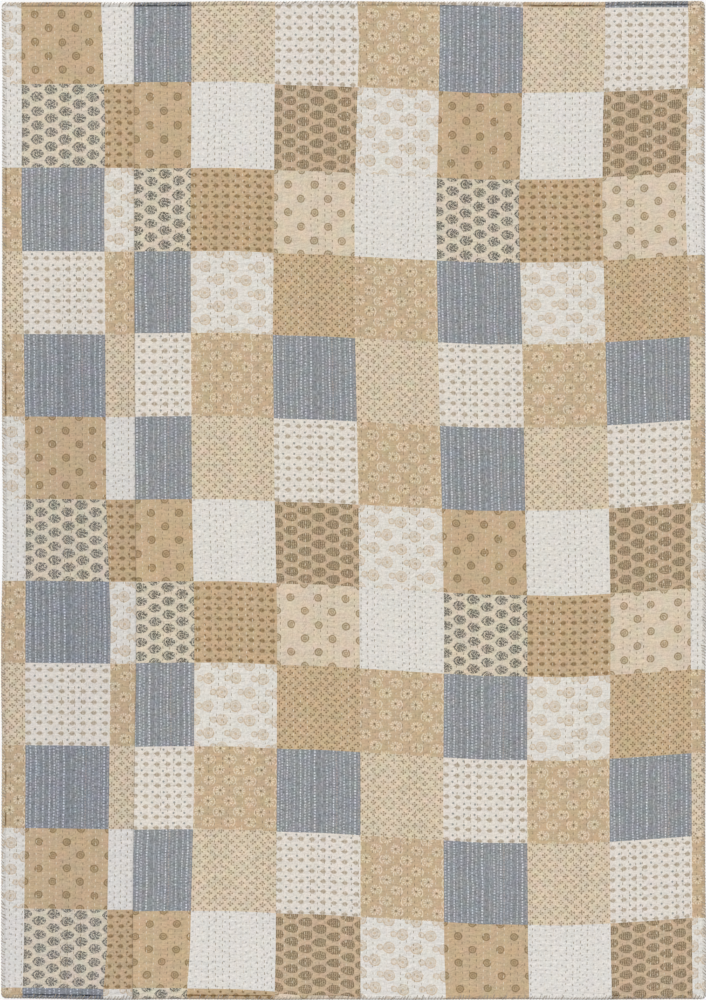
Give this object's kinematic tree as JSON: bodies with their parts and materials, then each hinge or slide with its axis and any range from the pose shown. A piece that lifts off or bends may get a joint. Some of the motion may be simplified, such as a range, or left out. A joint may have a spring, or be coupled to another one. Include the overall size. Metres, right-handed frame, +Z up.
{
  "type": "kantha quilt",
  "caption": "Flat rectangular cotton quilt of a narrow and a wide length of patch-printed cloth, hand quilted in long running-stitch rows, with a rolled, whipped edge.",
  "frame": {"origin": "middle of the underside, at the centre of the quilt's box", "axes": "+X across the quilt, towards the wide panel's outer edge; +Y along the quilt, from its foot to its head; +Z up, out of the printed face"},
  "size_m": [1.4134, 2.003, 0.0033],
  "materials": {
    "printed_cotton": "matt, hand-quilted printed cotton, crinkled",
    "quilting_thread": "matt cotton thread, white and tan, in running stitches",
    "edge_thread": "matt cotton thread, whipped over the edge"
  },
  "bodies": {
    "root": {"narrow_panel": "printed_cotton", "wide_panel": "printed_cotton"}
  },
  "joints": []
}
